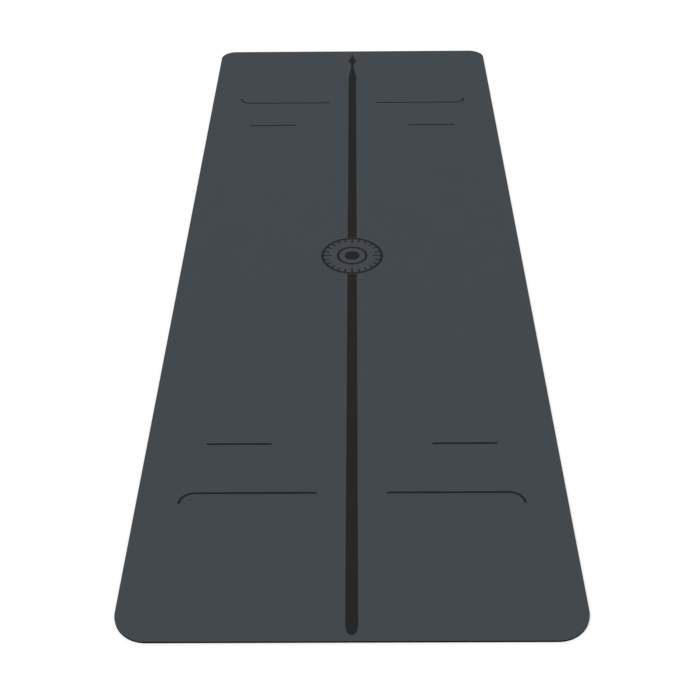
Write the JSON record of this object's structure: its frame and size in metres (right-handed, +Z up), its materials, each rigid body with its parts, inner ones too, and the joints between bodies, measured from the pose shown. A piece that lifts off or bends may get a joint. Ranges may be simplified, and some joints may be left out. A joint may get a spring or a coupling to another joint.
{
  "type": "yoga mat",
  "caption": "Flat rectangular yoga mat with rounded corners: a smooth grip skin bonded on a rubber base, printed with a centre line, cross lines and a central dial.",
  "frame": {"origin": "middle of the underside, on the floor", "axes": "+Z up out of the printed face, +Y along the length towards the front end where the centre line closes in a star, +X to the right of somebody who stands on the mat facing the front"},
  "size_m": [0.68, 1.85, 0.0042],
  "materials": {
    "natural_rubber": "matt black foamed natural rubber with a fine cast texture underneath",
    "bonding_cloth": "thin dark woven bonding cloth",
    "polyurethane_skin": "smooth matt slate grey polyurethane with a very fine leather grain",
    "mark_ink": "matt near-black screen-printed ink"
  },
  "bodies": {
    "root": {"rubber_base": "natural_rubber", "backing_cloth": "bonding_cloth", "grip_skin": "polyurethane_skin", "centre_line_front": "mark_ink", "centre_line_rear": "mark_ink", "dial_outer_ring": "mark_ink", "dial_inner_ring": "mark_ink", "dial_centre_dot": "mark_ink", "front_long_line_left": "mark_ink", "front_short_line_left": "mark_ink", "front_long_line_right": "mark_ink", "front_short_line_right": "mark_ink", "rear_long_line_left": "mark_ink", "rear_short_line_left": "mark_ink", "rear_long_line_right": "mark_ink", "rear_short_line_right": "mark_ink"}
  },
  "joints": []
}
